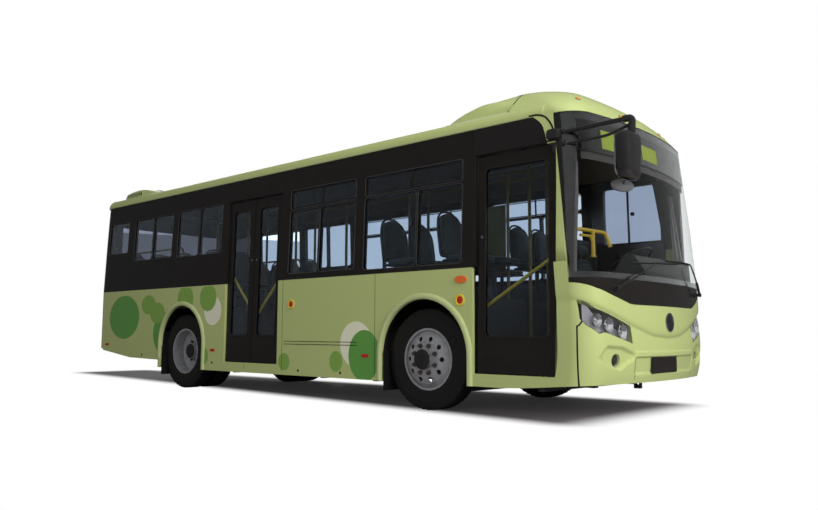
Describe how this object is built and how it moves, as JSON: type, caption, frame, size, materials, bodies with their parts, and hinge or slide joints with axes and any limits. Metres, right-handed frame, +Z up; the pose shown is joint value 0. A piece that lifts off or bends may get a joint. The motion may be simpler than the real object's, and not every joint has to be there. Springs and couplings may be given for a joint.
{
  "type": "city bus",
  "caption": "Low-entry city bus in light green and black, with inward-swinging doors, steered front wheels and twin rear wheels.",
  "frame": {"origin": "on the ground, half way along the bus with its mirrors, on its middle plane", "axes": "+X forward, +Y to the left, +Z up"},
  "size_m": [8.769, 2.77, 3.0299],
  "materials": {
    "body_green": "gloss",
    "body_black": "gloss",
    "roof_green": "gloss",
    "tinted_glass": "polished",
    "clear_glass": "polished",
    "tyre": "matte",
    "wheel_silver": "satin",
    "axle_steel": "satin",
    "frame_steel": "satin",
    "engine_grey": "satin",
    "lamp_clear": "polished",
    "lamp_red": "polished",
    "door_black": "gloss",
    "floor_grey": "satin",
    "seat_green": "satin",
    "seat_steel": "satin",
    "rail_yellow": "gloss",
    "dash_grey": "matte",
    "trim_black": "satin",
    "driver_fabric": "matte",
    "partition_grey": "satin"
  },
  "bodies": {
    "body": {"chassis_frame": "frame_steel", "chassis_rear_frame": "frame_steel", "dashboard": "dash_grey", "destination_sign": "trim_black", "door_drives": "trim_black", "driver_partition": "partition_grey", "driver_seat": "driver_fabric", "engine": "engine_grey", "floor": "floor_grey", "floor_rear": "floor_grey", "frame_posts": "frame_steel", "front_axle": "axle_steel", "front_black_panel": "body_black", "front_cap": "roof_green", "front_frame": "body_black", "front_mask": "body_green", "handrails": "rail_yellow", "lamps_front": "lamp_clear", "lamps_rear": "lamp_red", "mirror_left": "trim_black", "mirror_right": "trim_black", "passenger_seats": "seat_green", "rear_axle": "axle_steel", "rear_cap": "roof_green", "rear_wall": "body_green", "rear_window": "tinted_glass", "roof": "roof_green", "roof_pod": "roof_green", "roof_vent": "roof_green", "seat_legs": "seat_steel", "side_lower_left": "body_green", "side_lower_right": "body_green", "side_upper_left": "body_black", "side_upper_right": "body_black", "side_windows": "tinted_glass", "steering_column": "trim_black", "windshield": "clear_glass", "wipers": "trim_black"},
    "roof_hatch": {"roof_hatch": "roof_green"},
    "engine_door": {"engine_door": "body_green"},
    "steering_wheel": {"steering_wheel": "trim_black"},
    "knuckle_left": {"knuckle_left": "axle_steel"},
    "knuckle_right": {"knuckle_right": "axle_steel"},
    "wheel_front_left": {"wheel_front_left": "wheel_silver", "tyre_front_left": "tyre"},
    "wheel_front_right": {"wheel_front_right": "wheel_silver", "tyre_front_right": "tyre"},
    "wheel_rear_left": {"wheel_rear_left": "wheel_silver", "tyres_rear_left": "tyre"},
    "wheel_rear_right": {"wheel_rear_right": "wheel_silver", "tyres_rear_right": "tyre"},
    "door_front_post": {"door_front_post": "trim_black"},
    "door_front_leaf": {"door_front_leaf": "door_black", "door_front_glass": "tinted_glass"},
    "door_mid_front_post": {"door_mid_front_post": "trim_black"},
    "door_mid_front_leaf": {"door_mid_front_leaf": "door_black", "door_mid_front_glass": "tinted_glass"},
    "door_mid_rear_post": {"door_mid_rear_post": "trim_black"},
    "door_mid_rear_leaf": {"door_mid_rear_leaf": "door_black", "door_mid_rear_glass": "tinted_glass"}
  },
  "joints": [
    {"name": "steer_left", "type": "hinge", "parent": "body", "child": "knuckle_left", "pos_m": [2.155, 0.85, 0.487], "axis": [0, 0, 1], "range_deg": [-35, 35]},
    {"name": "steer_right", "type": "hinge", "parent": "body", "child": "knuckle_right", "pos_m": [2.155, -0.85, 0.487], "axis": [0, 0, 1], "range_deg": [-35, 35]},
    {"name": "steering_wheel_turn", "type": "hinge", "parent": "body", "child": "steering_wheel", "pos_m": [3.455, 0.62, 1.48], "axis": [-0.5, 0, 0.866], "range_deg": [-700, 700]},
    {"name": "spin_front_left", "type": "hinge", "parent": "knuckle_left", "child": "wheel_front_left", "pos_m": [2.155, 1.02, 0.487], "axis": [0, 1, 0], "continuous": true},
    {"name": "spin_rear_left", "type": "hinge", "parent": "body", "child": "wheel_rear_left", "pos_m": [-2.095, 0.8675, 0.487], "axis": [0, 1, 0], "continuous": true},
    {"name": "spin_front_right", "type": "hinge", "parent": "knuckle_right", "child": "wheel_front_right", "pos_m": [2.155, -1.02, 0.487], "axis": [0, 1, 0], "continuous": true},
    {"name": "spin_rear_right", "type": "hinge", "parent": "body", "child": "wheel_rear_right", "pos_m": [-2.095, -0.8675, 0.487], "axis": [0, 1, 0], "continuous": true},
    {"name": "door_front_swing", "type": "hinge", "parent": "body", "child": "door_front_post", "pos_m": [3.67, -1.105, 0.375], "axis": [0, -0.0199, -0.9998], "range_deg": [0, 78]},
    {"name": "door_front_fold", "type": "hinge", "parent": "door_front_post", "child": "door_front_leaf", "pos_m": [3.25, -1.105, 0.375], "axis": [0, 0.0199, 0.9998], "range_deg": [0, 156]},
    {"name": "door_mid_front_swing", "type": "hinge", "parent": "body", "child": "door_mid_front_post", "pos_m": [0.01, -1.105, 0.375], "axis": [0, -0.0199, -0.9998], "range_deg": [0, 76]},
    {"name": "door_mid_front_fold", "type": "hinge", "parent": "door_mid_front_post", "child": "door_mid_front_leaf", "pos_m": [-0.2515, -1.105, 0.375], "axis": [0, 0.0199, 0.9998], "range_deg": [0, 152]},
    {"name": "door_mid_rear_swing", "type": "hinge", "parent": "body", "child": "door_mid_rear_post", "pos_m": [-1.12, -1.105, 0.375], "axis": [0, 0.0199, 0.9998], "range_deg": [0, 76]},
    {"name": "door_mid_rear_fold", "type": "hinge", "parent": "door_mid_rear_post", "child": "door_mid_rear_leaf", "pos_m": [-0.8585, -1.105, 0.375], "axis": [0, -0.0199, -0.9998], "range_deg": [0, 152]},
    {"name": "roof_hatch_lift", "type": "hinge", "parent": "body", "child": "roof_hatch", "pos_m": [-0.461, 0, 2.8843], "axis": [0, -1, 0], "range_deg": [0, 60]},
    {"name": "engine_door_lift", "type": "hinge", "parent": "body", "child": "engine_door", "pos_m": [-4.383, 0, 1.252], "axis": [0, 1, 0], "range_deg": [0, 80]}
  ],
  "couplings": [
    {"joint": "steer_right", "follows": "steer_left", "ratio": 1},
    {"joint": "steering_wheel_turn", "follows": "steer_left", "ratio": 20},
    {"joint": "door_front_fold", "follows": "door_front_swing", "ratio": 2},
    {"joint": "door_mid_front_fold", "follows": "door_mid_front_swing", "ratio": 2},
    {"joint": "door_mid_rear_fold", "follows": "door_mid_rear_swing", "ratio": 2}
  ]
}
